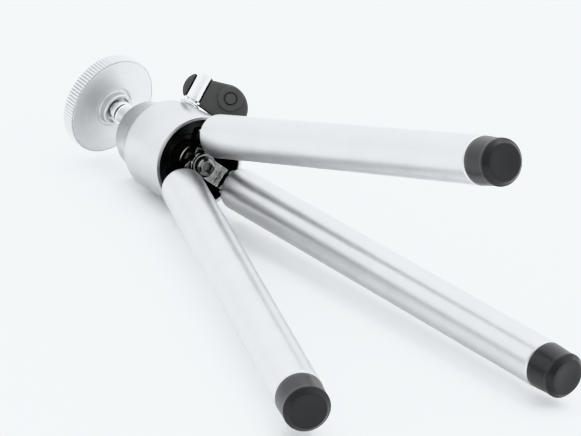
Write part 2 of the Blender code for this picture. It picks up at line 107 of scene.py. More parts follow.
def frame_on(origin, up, side):
    """Local frame with +Z along up and +X as near to side as it can be, scaled from millimetres."""
    z_axis = Vector(up).normalized()
    x_axis = (Vector(side) - Vector(side).dot(z_axis) * z_axis).normalized()
    turn = Matrix((x_axis, z_axis.cross(x_axis), z_axis)).transposed()
    return Matrix.Translation(origin) @ turn.to_4x4() @ Matrix.Scale(MM, 4)


def hub_frame():
    up = Vector(JOINTS["ball_pan"]["axis"])
    mouth = Vector(JOINTS["ball_pan"]["pos_m"]) - BALL_HEIGHT * MM * up
    return frame_on(mouth, up, Vector(JOINTS["leg_a_spread"]["pos_m"]) - mouth)


def leg_frame(leg):
    up = -Vector(MOUNTS[f"foot_{leg}_face"]["axis"])
    hinge = JOINTS[f"leg_{leg}_spread"]
    return frame_on(hinge["pos_m"], up, -Vector(hinge["axis"]).cross(up))


def stud_frame():
    tilt = JOINTS["ball_tilt"]
    return frame_on(tilt["pos_m"], JOINTS["platform_spin"]["axis"], tilt["axis"])


def platform_frame():
    spin = JOINTS["platform_spin"]
    face = Vector(MOUNTS["platform_face"]["pos_m"])
    return frame_on(spin["pos_m"], spin["axis"], face - Vector(spin["pos_m"]))


def lock_frame(turn):
    """+Z out along the lock screw from the ball's centre. At LOCK_TURN, +X is along the lever."""
    outwards = Vector(JOINTS["lock_lever_turn"]["axis"])
    start = Vector(JOINTS["lock_lever_turn"]["pos_m"]) - LOCK_POINT * MM * outwards
    level = Vector(JOINTS["ball_pan"]["axis"]).cross(outwards)
    return frame_on(start, outwards, Matrix.Rotation(math.radians(turn), 3, outwards) @ level)


HUB = hub_frame()
LEG = {leg: leg_frame(leg) for leg in LEGS}
STUD = stud_frame()
PLATFORM = platform_frame()
LOCK_SEAT = lock_frame(0.0)
LOCK = lock_frame(LOCK_TURN)


# Stage

CAMERA_PLACE = (0.59644, -0.33483, 0.27178)
CAMERA_TURN = (69.537, -4.547, 61.464)  # degrees
CAMERA_LENS = 173.5  # millimetres
CAMERA_SENSOR = 36.0  # millimetres
STUDIO_TINT = (0.98, 1.015, 1.035)
STUDIO_STRENGTH = 1.75
HORIZON_LEVEL = 0.82  # share of the overhead light
CAMERA_SIDE_LEVEL = 0.62  # share of the light elsewhere at the same height
SOFTBOX_PLACE = (-0.15, 0.35, 1.1)
SOFTBOX_SIZE = 0.6
SOFTBOX_POWER = 2.0
SOFTBOX_COLOR = (0.98, 1.0, 1.0)
FLOOR_REACH = 6.0  # from its middle to each side
FLOOR_COLOR = (0.93, 0.93, 0.93, 1.0)
FLOOR_GLOW = 0.06


def new_object(name, data):
    """An object of the data, in the scene."""
    created = bpy.data.objects.new(name, data)
    bpy.context.scene.collection.objects.link(created)
    return created


def mesh_object(name, bm):
    """An object of the bmesh, which is freed."""
    mesh = bpy.data.meshes.new(name)
    bm.to_mesh(mesh)
    bm.free()
    return new_object(name, mesh)


def make_camera():
    data = bpy.data.cameras.new("camera")
    data.lens = CAMERA_LENS
    data.sensor_width = CAMERA_SENSOR
    data.clip_start = 0.01
    data.clip_end = 50.0
    camera = new_object("camera", data)
    camera.location = CAMERA_PLACE
    camera.rotation_euler = [math.radians(angle) for angle in CAMERA_TURN]
    bpy.context.scene.camera = camera


def make_softbox():
    """A square softbox high on the far side, aimed at the middle of the floor."""
    data = bpy.data.lights.new("overhead_softbox", "AREA")
    data.shape = "RECTANGLE"
    data.size = SOFTBOX_SIZE
    data.size_y = SOFTBOX_SIZE
    data.energy = SOFTBOX_POWER
    data.color = SOFTBOX_COLOR
    softbox = new_object("overhead_softbox", data)
    softbox.location = SOFTBOX_PLACE
    softbox.rotation_euler = (-Vector(SOFTBOX_PLACE)).to_track_quat("-Z", "Y").to_euler()


def make_world():
    """A studio that is bright overhead, dimmer towards the horizon and dimmest around the camera."""
    world = bpy.data.worlds.new("studio")
    world.use_nodes = True
    bpy.context.scene.world = world
    tree = world.node_tree
    direction = add_node(tree, "TexCoord").outputs["Generated"]
    height = add_node(tree, "SeparateXYZ", {0: direction}).outputs["Z"]
    towards_camera = {0: direction, 1: Vector(CAMERA_PLACE).normalized()}
    nearness = add_node(tree, "VectorMath", towards_camera, operation="DOT_PRODUCT").outputs["Value"]
    level = map_range(tree, height, 0.0, 0.6, HORIZON_LEVEL, 1.0)
    level = math_node(tree, "MULTIPLY", level, map_range(tree, nearness, 0.5, 0.95, 1.0, CAMERA_SIDE_LEVEL))
    tint = add_node(tree, "VectorMath", {0: STUDIO_TINT, "Scale": level}, operation="SCALE")
    background = tree.nodes["Background"]
    tree.links.new(tint.outputs["Vector"], background.inputs["Color"])
    background.inputs["Strength"].default_value = STUDIO_STRENGTH


def make_floor():
    bm = bmesh.new()
    bmesh.ops.create_grid(bm, x_segments=1, y_segments=1, size=FLOOR_REACH)
    floor = mesh_object("floor", bm)
    material = bpy.data.materials.new("pale_floor")
    material.use_nodes = True
    shader = material.node_tree.nodes["Principled BSDF"]
    shader.inputs["Base Color"].default_value = FLOOR_COLOR
    shader.inputs["Emission Color"].default_value = (*STUDIO_TINT, 1.0)
    shader.inputs["Emission Strength"].default_value = FLOOR_GLOW
    shader.inputs["Roughness"].default_value = 0.9
    shader.inputs["Specular IOR Level"].default_value = 0.1
    floor.data.materials.append(material)


def make_stage():
    make_camera()
    make_world()
    make_floor()
    make_softbox()
    bpy.context.scene.view_settings.view_transform = "Khronos PBR Neutral"


# Shared effects


def new_group(name, inputs, outputs):
    """An empty shader node group with (name, type, value) inputs and (name, type) outputs."""
    tree = bpy.data.node_groups.new(name, "ShaderNodeTree")
    for socket_name, kind, value in inputs:
        socket = tree.interface.new_socket(socket_name, in_out="INPUT", socket_type=f"NodeSocket{kind}")
        if value is not None:
            socket.default_value = value
    for socket_name, kind in outputs:
        tree.interface.new_socket(socket_name, in_out="OUTPUT", socket_type=f"NodeSocket{kind}")
    return tree, tree.nodes.new("NodeGroupInput"), tree.nodes.new("NodeGroupOutput")


def add_node(tree, kind, values=None, **settings):
    """A node with its settings and its input values by name or number, linked where a value is a socket."""
    node = tree.nodes.new(f"ShaderNode{kind}")
    for setting, value in settings.items():
        setattr(node, setting, value)
    for key, value in (values or {}).items():
        if isinstance(value, bpy.types.NodeSocket):
            tree.links.new(value, node.inputs[key])
        else:
            node.inputs[key].default_value = value
    return node


def math_node(tree, operation, first, second):
    return add_node(tree, "Math", {0: first, 1: second}, operation=operation).outputs[0]


def map_range(tree, value, from_low, from_high, to_low, to_high):
    source = {"Value": value, "From Min": from_low, "From Max": from_high}
    return add_node(tree, "MapRange", {**source, "To Min": to_low, "To Max": to_high}).outputs["Result"]


def mix_color(tree, share, first, second):
    """The first colour where the share is 0, and the second where it is 1."""
    return add_node(tree, "Mix", {0: share, 6: first, 7: second}, data_type="RGBA").outputs[2]


def make_handling_group():
    """Faint smudges and cloudy patches that change a surface's tone and gloss."""
    inputs = [("Place", "Vector", None), ("Color", "Color", (0.5, 0.5, 0.5, 1.0)),
              ("Roughness", "Float", 0.3), ("Amount", "Float", 1.0)]
    tree, given, made = new_group("handling_marks", inputs, [("Color", "Color"), ("Roughness", "Float")])
    place = given.outputs["Place"]
    cloud = add_node(tree, "TexNoise", {"Vector": place, "Scale": 0.11, "Detail": 3.0, "Roughness": 0.55})
    smudge = add_node(tree, "TexNoise", {"Vector": place, "Scale": 0.45, "Detail": 5.0, "Distortion": 0.8})
    tone = map_range(tree, cloud.outputs["Fac"], 0.3, 0.7, -0.05, 0.05)
    gloss = map_range(tree, smudge.outputs["Fac"], 0.35, 0.75, -0.03, 0.06)
    tone = math_node(tree, "MULTIPLY", tone, given.outputs["Amount"])
    gloss = math_node(tree, "MULTIPLY", gloss, given.outputs["Amount"])
    tone = math_node(tree, "ADD", tone, 1.0)
    toned = add_node(tree, "VectorMath", {0: given.outputs["Color"], "Scale": tone}, operation="SCALE")
    rough = math_node(tree, "ADD", given.outputs["Roughness"], gloss)
    tree.links.new(toned.outputs["Vector"], made.inputs["Color"])
    tree.links.new(rough, made.inputs["Roughness"])
    return tree


def make_grain_group():
    """Blasted, cast or drawn grain: a height and a mask, drawn out along Z by Stretch."""
    inputs = [("Place", "Vector", None), ("Size", "Float", 0.15), ("Stretch", "Float", 1.0)]
    tree, given, made = new_group("surface_grain", inputs, [("Height", "Float"), ("Mask", "Float")])
    parts = add_node(tree, "SeparateXYZ", {0: given.outputs["Place"]})
    drawn = math_node(tree, "DIVIDE", parts.outputs["Z"], given.outputs["Stretch"])
    place = add_node(tree, "CombineXYZ", {0: parts.outputs["X"], 1: parts.outputs["Y"], 2: drawn})
    scale = math_node(tree, "DIVIDE", 1.0, given.outputs["Size"])
    values = {"Vector": place.outputs[0], "Scale": scale, "Detail": 4.0, "Roughness": 0.6}
    fine = add_node(tree, "TexNoise", values)
    mask = map_range(tree, fine.outputs["Fac"], 0.35, 0.65, 0.0, 1.0)
    tree.links.new(fine.outputs["Fac"], made.inputs["Height"])
    tree.links.new(mask, made.inputs["Mask"])
    return tree


def make_turning_group():
    """Fine uneven rings about Z, as a lathe tool leaves them."""
    inputs = [("Place", "Vector", None), ("Spacing", "Float", 0.2)]
    tree, given, made = new_group("turning_marks", inputs, [("Height", "Float"), ("Mask", "Float")])
    parts = add_node(tree, "SeparateXYZ", {0: given.outputs["Place"]})
    flat = add_node(tree, "CombineXYZ", {0: parts.outputs["X"], 1: parts.outputs["Y"]})
    radius = add_node(tree, "VectorMath", {0: flat.outputs[0]}, operation="LENGTH").outputs["Value"]
    along = add_node(tree, "CombineXYZ", {0: radius, 1: parts.outputs["Z"]})
    scale = math_node(tree, "DIVIDE", 1.0, given.outputs["Spacing"])
    rings = add_node(tree, "TexNoise", {"Vector": along.outputs[0], "Scale": scale, "Detail": 2.0})
    mask = map_range(tree, rings.outputs["Fac"], 0.35, 0.65, 0.0, 1.0)
    tree.links.new(rings.outputs["Fac"], made.inputs["Height"])
    tree.links.new(mask, made.inputs["Mask"])
    return tree


def make_edge_group():
    """A rubbed colour on edges that stand out, from how far the surface bends."""
    inputs = [("Color", "Color", (0.5, 0.5, 0.5, 1.0)), ("Rubbed", "Color", (0.8, 0.8, 0.8, 1.0)),
              ("Amount", "Float", 0.5)]
    tree, given, made = new_group("rubbed_edges", inputs, [("Color", "Color")])
    bend = add_node(tree, "NewGeometry").outputs["Pointiness"]
    edge = map_range(tree, bend, 0.52, 0.62, 0.0, 1.0)
    edge = math_node(tree, "MULTIPLY", edge, given.outputs["Amount"])
    color = mix_color(tree, edge, given.outputs["Color"], given.outputs["Rubbed"])
    tree.links.new(color, made.inputs["Color"])
    return tree


HANDLING = make_handling_group()
GRAIN = make_grain_group()
TURNING = make_turning_group()
EDGES = make_edge_group()


# Materials


def placed_group(tree, group, values):
    """One of the shared groups in a material, with its input values or links by name."""
    return add_node(tree, "Group", values, node_tree=group)


def shade(color, factor=1.0):
    """The colour, lighter or darker, with its alpha."""
    return [*(min(factor * channel, 1.0) for channel in color), 1.0]


def new_material(name, home, roughness, metallic):
    """A material, its tree and its shader, with the place in the piece's own frame in millimetres."""
    material = bpy.data.materials.new(name)
    material.use_nodes = True
    tree = material.node_tree
    shader = tree.nodes["Principled BSDF"]
    shader.inputs["Roughness"].default_value = roughness
    shader.inputs["Metallic"].default_value = metallic
    values = {
        "Vector": add_node(tree, "TexCoord").outputs["Object"],
        "Location": home.translation,
        "Rotation": home.to_euler(),
        "Scale": (MM, MM, MM),
    }
    mapping = add_node(tree, "Mapping", values, vector_type="TEXTURE")
    return material, tree, shader, mapping.outputs["Vector"]


def finish_surface(tree, shader, place, color, rubbed, roughness, marks, height, depth):
    """Colour and gloss through the handling marks and rubbed edges, and the height as a bump."""
    edges = placed_group(tree, EDGES, {"Color": color, "Rubbed": rubbed, "Amount": marks})
    values = {"Place": place, "Color": edges.outputs["Color"], "Roughness": roughness, "Amount": marks}
    handled = placed_group(tree, HANDLING, values)
    bump = add_node(tree, "Bump", {"Height": height, "Strength": 1.0, "Distance": depth * MM})
    tree.links.new(handled.outputs["Color"], shader.inputs["Base Color"])
    tree.links.new(handled.outputs["Roughness"], shader.inputs["Roughness"])
    tree.links.new(bump.outputs["Normal"], shader.inputs["Normal"])


def satin_metal(name, home, color, roughness, grain_size, stretch, depth):
    """Blasted and clear anodised aluminium: a fine matt grain, with its size and depth in millimetres."""
    material, tree, shader, place = new_material(name, home, roughness, 1.0)
    grain = placed_group(tree, GRAIN, {"Place": place, "Size": grain_size, "Stretch": stretch})
    toned = mix_color(tree, grain.outputs["Mask"], shade(color, 0.93), shade(color))
    height = grain.outputs["Height"]
    finish_surface(tree, shader, place, toned, shade(color, 1.12), roughness, 0.8, height, depth)
    return material


def turned_metal(name, home, color, roughness, spacing, depth):
    """Bare or plated metal with the lathe's rings in it, with their spacing and depth in millimetres."""
    material, tree, shader, place = new_material(name, home, roughness, 1.0)
    rings = placed_group(tree, TURNING, {"Place": place, "Spacing": spacing})
    toned = mix_color(tree, rings.outputs["Mask"], shade(color, 0.95), shade(color))
    finish_surface(tree, shader, place, toned, shade(color), roughness, 0.6, rings.outputs["Height"], depth)
    return material


def cast_chrome(name, home, color):
    """Plating over a slightly wavy casting, bumped by the waves. Its colour is darker where the waves dip, a
    painted reflection, and its edges go to bright chrome, painted glints.
    """
    roughness = 0.12
    material, tree, shader, place = new_material(name, home, roughness, 1.0)
    waves = placed_group(tree, GRAIN, {"Place": place, "Size": 1.6, "Stretch": 1.0})
    # Darker where the waves dip: painted reflection. Edges go to bright chrome: painted glints.
    toned = mix_color(tree, waves.outputs["Mask"], shade(color, 0.6), shade(color))
    finish_surface(tree, shader, place, toned, shade(CHROME), roughness, 0.7, waves.outputs["Height"], 0.25)
    return material


def moulded(name, home, color, roughness, grain_size, depth, rubbed, coat):
    """Moulded plastic or rubber with a fine tool texture and faintly paler rubbed edges."""
    material, tree, shader, place = new_material(name, home, roughness, 0.0)
    grain = placed_group(tree, GRAIN, {"Place": place, "Size": grain_size, "Stretch": 1.0})
    toned = mix_color(tree, grain.outputs["Mask"], shade(color, 0.85), shade(color))
    finish_surface(tree, shader, place, toned, shade(rubbed), roughness, 0.8, grain.outputs["Height"], depth)
    shader.inputs["Coat Weight"].default_value = coat
    shader.inputs["Coat Roughness"].default_value = 0.2
    return material


ALUMINIUM = (0.60, 0.60, 0.605)
BLASTED_ALUMINIUM = (0.54, 0.54, 0.545)
TURNED_ALUMINIUM = (0.70, 0.70, 0.705)
# Darker tone for the knurl's valleys: painted shade.
VALLEY_PAINTED_SHADE_ALUMINIUM = (0.54, 0.54, 0.545)
CHROME = (0.86, 0.86, 0.865)
BRIGHT_CHROME = (0.93, 0.93, 0.93)
# Dark chrome for the spider and the leg fittings in the hub's mouth: painted shade and painted dark reflections.
SPIDER_CHROME_PAINTED_SHADE = (0.40, 0.41, 0.40)
FITTING_CHROME_PAINTED_SHADE = (0.46, 0.46, 0.44)
ZINC = (0.55, 0.55, 0.555)
WARM_ZINC = (0.66, 0.65, 0.62)
# Darkened steel for the spider's screw and washer: painted shade among the pivots.
STEEL_PAINTED_SHADE = (0.24, 0.24, 0.235)
LEVER_BLACK = (0.072, 0.073, 0.070)
RUBBED_LEVER = (0.06, 0.06, 0.06)
PLUG_BLACK = (0.03, 0.029, 0.028)
RUBBED_PLUG = (0.08, 0.075, 0.07)
# Near-black for the faces inside the hub's mouth: painted shade.
MOUTH_PAINTED_SHADE = (0.012, 0.011, 0.010)
RUBBED_MOUTH_PAINTED_SHADE = (0.02, 0.018, 0.016)
FOOT_RUBBER = (0.008, 0.008, 0.008)
RUBBED_FOOT = (0.03, 0.03, 0.03)
PAD_RUBBER = (0.03, 0.03, 0.03)
RUBBED_PAD = (0.06, 0.06, 0.06)
NATURAL_NYLON = (0.70, 0.68, 0.63)
RUBBED_NYLON = (0.78, 0.76, 0.72)

SATIN_HUB = satin_metal("satin_hub", HUB, BLASTED_ALUMINIUM, 0.36, 0.16, 1.0, 0.012)
SATIN_WHEEL = turned_metal("satin_wheel", PLATFORM, TURNED_ALUMINIUM, 0.44, 0.3, 0.003)
KNURL_VALLEY_PAINTED_SHADE = turned_metal("knurl_valley_painted_shade", PLATFORM, VALLEY_PAINTED_SHADE_ALUMINIUM, 0.48, 0.3, 0.003)
CHROME_SPIDER = cast_chrome("chrome_spider", HUB, SPIDER_CHROME_PAINTED_SHADE)
CHROME_STUD = turned_metal("chrome_stud", STUD, CHROME, 0.09, 0.35, 0.003)
CHROME_LOCK = turned_metal("chrome_lock", LOCK, BRIGHT_CHROME, 0.25, 0.3, 0.004)
ZINC_HUB = turned_metal("zinc_hub", HUB, ZINC, 0.26, 0.2, 0.006)
ZINC_COLLAR = turned_metal("zinc_collar", HUB, WARM_ZINC, 0.3, 0.2, 0.006)
ZINC_SEAT = turned_metal("zinc_lock_seat", LOCK_SEAT, ZINC, 0.22, 0.2, 0.006)
ZINC_PLATFORM = turned_metal("zinc_platform", PLATFORM, ZINC, 0.26, 0.2, 0.006)
# Dark steel on the spider's screw and washer: painted shade.
DARK_SCREW = turned_metal("dark_screw", HUB, STEEL_PAINTED_SHADE, 0.25, 0.2, 0.006)
PAINTED_SHADE_MOUTH = moulded("painted_shade_mouth", HUB, MOUTH_PAINTED_SHADE, 0.42, 0.5, 0.01, RUBBED_MOUTH_PAINTED_SHADE, 0.0)
BLACK_PLUG = moulded("black_mouth", HUB, PLUG_BLACK, 0.35, 0.4, 0.01, RUBBED_PLUG, 0.0)
BLACK_LEVER = moulded("black_lever", LOCK, LEVER_BLACK, 0.42, 0.16, 0.02, RUBBED_LEVER, 0.0)
NYLON = moulded("natural_nylon", HUB, NATURAL_NYLON, 0.5, 0.3, 0.01, RUBBED_NYLON, 0.0)
PAD = moulded("black_pad_rubber", PLATFORM, PAD_RUBBER, 0.8, 0.35, 0.05, RUBBED_PAD, 0.0)
SATIN_TUBE = {}
CHROME_FITTING = {}
BLACK_FOOT = {}
for leg_name, leg_home in LEG.items():
    SATIN_TUBE[leg_name] = satin_metal(f"satin_tube_{leg_name}", leg_home, ALUMINIUM, 0.33, 0.14, 6.0, 0.008)
    CHROME_FITTING[leg_name] = cast_chrome(f"chrome_fitting_{leg_name}", leg_home, FITTING_CHROME_PAINTED_SHADE)
    BLACK_FOOT[leg_name] = moulded(f"black_foot_{leg_name}", leg_home, FOOT_RUBBER, 0.36, 0.25, 0.012,
                                   RUBBED_FOOT, 0.1)


# Mesh tools, in millimetres


def arc(center_x, center_z, radius, start, end, steps):
    """Points on a circle, from start to end in degrees."""
    points = []
    for step in range(steps + 1):
        angle = math.radians(start + (end - start) * step / steps)
        points.append((center_x + radius * math.cos(angle), center_z + radius * math.sin(angle)))
    return points


def ring(inner, outer, low, high, inner_round, outer_round):
    """Section of a washer: small rounds inside and larger ones outside."""
    return [
        *arc(inner + inner_round, low + inner_round, inner_round, 180, 270, 2),
        *arc(outer - outer_round, low + outer_round, outer_round, -90, 0, 3),
        *arc(outer - outer_round, high - outer_round, outer_round, 0, 90, 3),
        *arc(inner + inner_round, high - inner_round, inner_round, 90, 180, 2),
    ]


def turned(outline, steps):
    """A bmesh turned about Z from (radius, height) points, closed as a ring unless it starts on the axis."""
    bm = bmesh.new()
    verts = [bm.verts.new((radius, 0.0, height)) for radius, height in outline]
    edges = [bm.edges.new(pair) for pair in zip(verts, verts[1:])]
    if outline[0][0] > 0.0:
        edges.append(bm.edges.new((verts[-1], verts[0])))
    bmesh.ops.spin(bm, geom=verts + edges, cent=(0.0, 0.0, 0.0), axis=(0.0, 0.0, 1.0), angle=math.tau,
                   steps=steps, use_merge=True)
    clean(bm)
    return bm


def clean(bm):
    """Joins doubled corners and points every face outwards."""
    bmesh.ops.remove_doubles(bm, verts=bm.verts, dist=0.001)
    bmesh.ops.recalc_face_normals(bm, faces=bm.faces)


def extruded(outline, thickness):
    """A bmesh of an (x, z) outline, with its thickness centred on y = 0."""
    bm = bmesh.new()
    face = bm.faces.new([bm.verts.new((x, -thickness / 2, z)) for x, z in outline])
    far_side = bmesh.ops.extrude_face_region(bm, geom=[face])["geom"]
    far_verts = [item for item in far_side if isinstance(item, bmesh.types.BMVert)]
    bmesh.ops.translate(bm, vec=(0.0, thickness, 0.0), verts=far_verts)
    clean(bm)
    return bm


def round_rims(bm, offset, segments):
    """Bevels the two outlines of an extruded shape."""
    rims = [edge for edge in bm.edges if abs(edge.verts[0].co.y - edge.verts[1].co.y) < 0.01]
    bmesh.ops.bevel(bm, geom=rims, offset=offset, segments=segments, profile=0.5, affect="EDGES",
                    material=-1)


def block(low, high):
    """A box between two corners."""
    bm = bmesh.new()
    size = Vector(high) - Vector(low)
    middle = (Vector(high) + Vector(low)) / 2
    bmesh.ops.create_cube(bm, size=1.0, matrix=Matrix.Translation(middle) @ Matrix.Diagonal((*size, 1.0)))
    return bm


def rod(radius, low, high, steps):
    """A cylinder along Z."""
    return turned([(0.0, low), (radius, low), (radius, high), (0.0, high)], steps)


def moved(bm, matrix):
    bmesh.ops.transform(bm, matrix=matrix, verts=bm.verts)
    return bm


def turned_over(degrees, axis):
    return Matrix.Rotation(math.radians(degrees), 4, axis)


def through_modifiers(bm, other, *settings):
    """The bmesh as (type, values) modifiers leave it. A Boolean takes the other bmesh."""
    work = mesh_object("work", bm)
    helpers = [work]
    for kind, values in settings:
        modifier = work.modifiers.new(kind, kind)
        for key, value in values.items():
            setattr(modifier, key, value)
        if kind == "BOOLEAN":
            modifier.object = mesh_object("tool", other)
            helpers.append(modifier.object)
    bpy.context.view_layer.update()
    result = bmesh.new()
    result.from_object(work, bpy.context.evaluated_depsgraph_get())
    for helper in helpers:
        bpy.data.objects.remove(helper, do_unlink=True)
    return result


def cut(bm, tool):
    return through_modifiers(bm, tool, ("BOOLEAN", {"operation": "DIFFERENCE", "solver": "EXACT"}))


def joined(bm, other):
    return through_modifiers(bm, other, ("BOOLEAN", {"operation": "UNION", "solver": "EXACT"}))


def softened(bm, voxel, rounds):
    """Rounds every edge a little, as a mould or a casting does."""
    remesh = ("REMESH", {"mode": "VOXEL", "voxel_size": voxel})
    smooth = ("SMOOTH", {"factor": 0.5, "iterations": rounds})
    return through_modifiers(bm, None, remesh, smooth)


def make_piece(name, bm, home, body, nodes, materials, sharp=30.0):
    """Places the bmesh, makes it the named piece, and lets it stand for its nodes on their body."""
    clean(bm)
    piece = mesh_object(name, moved(bm, home))
    piece.data.shade_smooth()
    piece.data.set_sharp_from_angle(angle=math.radians(sharp))
    for material in materials:
        piece.data.materials.append(material)
    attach(piece, body)
    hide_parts(*nodes)


# Hub


def make_hub_shell():
    """Turned bell with a liner seat in its neck and a drilled lock hole, with painted shade inside its mouth."""
    inner = HUB_RADIUS - HUB_WALL
    liner_bore = 7.9
    liner_seat = 23.8
    shoulder_middle = HUB_RADIUS - HUB_SHOULDER_RADIUS
    outline = [
        (inner, 0.25),
        (inner + 0.25, 0.0),
        *arc(HUB_RADIUS - 0.3, 0.3, 0.3, -90, 0, 4),
        (HUB_RADIUS, 10.0),
        *arc(shoulder_middle, HUB_SHOULDER, HUB_SHOULDER_RADIUS, 0, HUB_SHOULDER_ARC, 18),
        *arc(HUB_NECK_RADIUS + 0.3, HUB_NECK + 0.1, 0.3, 240, 180, 5),
        *arc(HUB_NECK_RADIUS - 0.8, HUB_HEIGHT - 0.8, 0.8, 0, 90, 7),
        *arc(HUB_FUNNEL_RADIUS + 0.2, HUB_HEIGHT - 0.2, 0.2, 90, 155, 3),
        (4.5, 24.1),
        (4.3, liner_seat),
        (liner_bore, liner_seat),
        (liner_bore, HUB_LEDGE + 0.3),
        (8.2, HUB_LEDGE),
        *arc(inner - 0.6, HUB_LEDGE - 0.6, 0.6, 90, 0, 4),
    ]
    shell = turned(outline, 160)
    seat = HUB.inverted() @ LOCK_SEAT
    washer_recess = rod(3.3, HUB_RADIUS - 0.5, HUB_RADIUS + 3.0, 48)
    screw_hole = rod(1.8, 4.9, HUB_RADIUS + 3.0, 32)
    shell = cut(shell, moved(washer_recess, seat))
    shell = cut(shell, moved(screw_hole, seat))
    # Faces inside the mouth take the near-black second material: painted shade in the hollow.
    for face in shell.faces:
        middle = face.calc_center_median()
        radius = math.hypot(middle.x, middle.y)
        inside = radius < inner + 0.05 and middle.z < HUB_LEDGE + 0.1
        face.material_index = 1 if inside else 0
    make_piece("hub_shell", shell, HUB, "hub", ["hub_body"], [SATIN_HUB, PAINTED_SHADE_MOUTH])


def make_lock_seat():
    """Washer between the hub and the lock screw's barrel."""
    washer = turned(ring(1.75, 2.9, 13.1, 13.7, 0.1, 0.15), 48)
    make_piece("lock_seat_ring", washer, LOCK_SEAT, "hub", ["lock_washer"], [ZINC_SEAT])


def make_mouth_plug():
    """Black disc that closes the mouth above the spider, with a zinc collar round the spider's boss."""
    bore = BOSS_RADIUS + 0.3
    collar = bore + 0.7
    rim = HUB_RADIUS - HUB_WALL - 0.3
    front = 8.5
    back = HUB_LEDGE - 0.3
    outline = [
        *arc(bore + 0.3, 3.8, 0.3, 180, 270, 4),
        *arc(collar - 0.3, 3.8, 0.3, -90, 0, 4),
        *arc(collar + 0.8, front - 0.8, 0.8, 180, 90, 6),
        *[(6.0 + 0.05 * step, front + 0.12 * math.sin(math.pi * step / 8)) for step in range(9)],
        *arc(rim - 0.4, front + 0.4, 0.4, -90, 0, 5),
        (rim, back - 0.1),
        (rim - 0.1, back),
        (bore, back),
    ]
    plug = turned(outline, 96)
    for face in plug.faces:
        middle = face.calc_center_median()
        in_collar = middle.z < front - 0.8 and math.hypot(middle.x, middle.y) < collar + 0.1
        face.material_index = 1 if in_collar else 0
    make_piece("mouth_plug", plug, HUB, "hub", ["mouth_disc"], [BLACK_PLUG, ZINC_COLLAR])


def pivot_place(number):
    """A leg's pivot in the hub's frame, with +Z along the pin."""
    turn = turned_over(120.0 * number, "Z")
    return turn @ Matrix.Translation((PIVOT_RADIUS, 0.0, PIVOT_HEIGHT)) @ turned_over(90.0, "X")


def make_spider():
    """The clevis block: a boss, and three pairs of ears with slots for the tongues."""
    top = HUB_LEDGE - 0.3
    half_slot = TONGUE_THICKNESS / 2 + 0.3
    ear_tip = arc(PIVOT_RADIUS, PIVOT_HEIGHT, 2.5, 180, 375, 24)
    ear = [(2.6, 1.8), (2.6, -1.6), (5.2, -2.6), *ear_tip, (9.9, 0.6), (7.6, 1.8)]
    casting = rod(BOSS_RADIUS, -2.0, top, 64)
    for number in range(len(LEGS)):
        casting = joined(casting, moved(extruded(ear, 5.8), turned_over(120.0 * number, "Z")))
    for number in range(len(LEGS)):
        slot = block((6.3, -half_slot, -8.0), (13.0, half_slot, 4.0))
        casting = cut(casting, moved(slot, turned_over(120.0 * number, "Z")))
        casting = cut(casting, moved(rod(PIN_BORE, -5.0, 5.0, 24), pivot_place(number)))
    casting = cut(casting, rod(2.0, -6.0, top + 2.0, 32))
    casting = softened(casting, 0.13, 5)
    make_piece("spider_casting", casting, HUB, "hub", ["spider"], [CHROME_SPIDER], 60.0)


def make_spider_fixings():
    """Socket screw that holds the spider in the hub, with its washer."""
    washer = turned(ring(2.0, 3.4, -2.9, -2.3, 0.1, 0.1), 48)
    make_piece("spider_screw_washer", washer, HUB, "hub", ["spider_washer"], [DARK_SCREW])
    head = -5.0
    outline = [
        (0.0, head),
        *arc(1.3, head + 1.4, 1.4, -90, 0, 10),
        (2.7, -3.3),
        (2.6, -3.2),
        (1.7, -3.2),
        (1.7, 12.3),
        (1.4, 12.6),
        (0.0, 12.6),
    ]
    screw = turned(outline, 48)
    chamfer = [(0.0, head - 0.5), (2.1, head - 0.5), (1.2, head + 0.35), (0.0, head + 0.35)]
    screw = cut(screw, rod(1.5, head - 1.0, head + 1.1, 6))
    screw = cut(screw, turned(chamfer, 48))
    make_piece("spider_cap_screw", screw, HUB, "hub", ["spider_screw"], [DARK_SCREW])


def make_pivot_pins():
    """A rivet through each pair of ears, with domed heads."""
    shank = 1.0
    seat = 3.2
    tip = 3.7
    dome = [(1.7 - 0.02 * step * step, seat + 0.1 * step) for step in range(6)]
    far_dome = [(radius, -height) for radius, height in reversed(dome)]
    outline = [(0.0, -tip), *far_dome, (shank, -seat), (shank, seat), *dome, (0.0, tip)]
    for number, leg in enumerate(LEGS):
        rivet = moved(turned(outline, 32), pivot_place(number))
        make_piece(f"pivot_rivet_{leg}", rivet, HUB, "hub", [f"pivot_pin_{leg}"], [ZINC_HUB])


# Legs


def make_leg_tube(leg):
    """Thin tube with its upper rim rolled in, and rings along it that keep its shading even."""
    lip = TUBE_RADIUS - 1.5
    inner = TUBE_RADIUS - TUBE_WALL
    ring_gap = 12.76
    outline = [
        (inner, TUBE_END + 0.1),
        (inner + 0.1, TUBE_END),
        (TUBE_RADIUS - 0.45, TUBE_END),
        *arc(TUBE_RADIUS - 0.15, TUBE_END + 0.45, 0.15, -30, 0, 2),
        *[(TUBE_RADIUS, TUBE_END + 1.0 + ring_gap * number) for number in range(11)],
        *arc(TUBE_RADIUS - 0.9, TUBE_TOP - 0.9, 0.9, 0, 90, 8),
        *arc(lip + 0.3, TUBE_TOP - 0.3, 0.3, 90, 180, 4),
        (lip, TUBE_TOP - 1.2),
        (inner, TUBE_TOP - 1.6),
    ]
    tube = turned(outline, 96)
    make_piece(f"tube_{leg}", tube, LEG[leg], f"leg_{leg}", [f"leg_tube_{leg}"],
               [SATIN_TUBE[leg]])


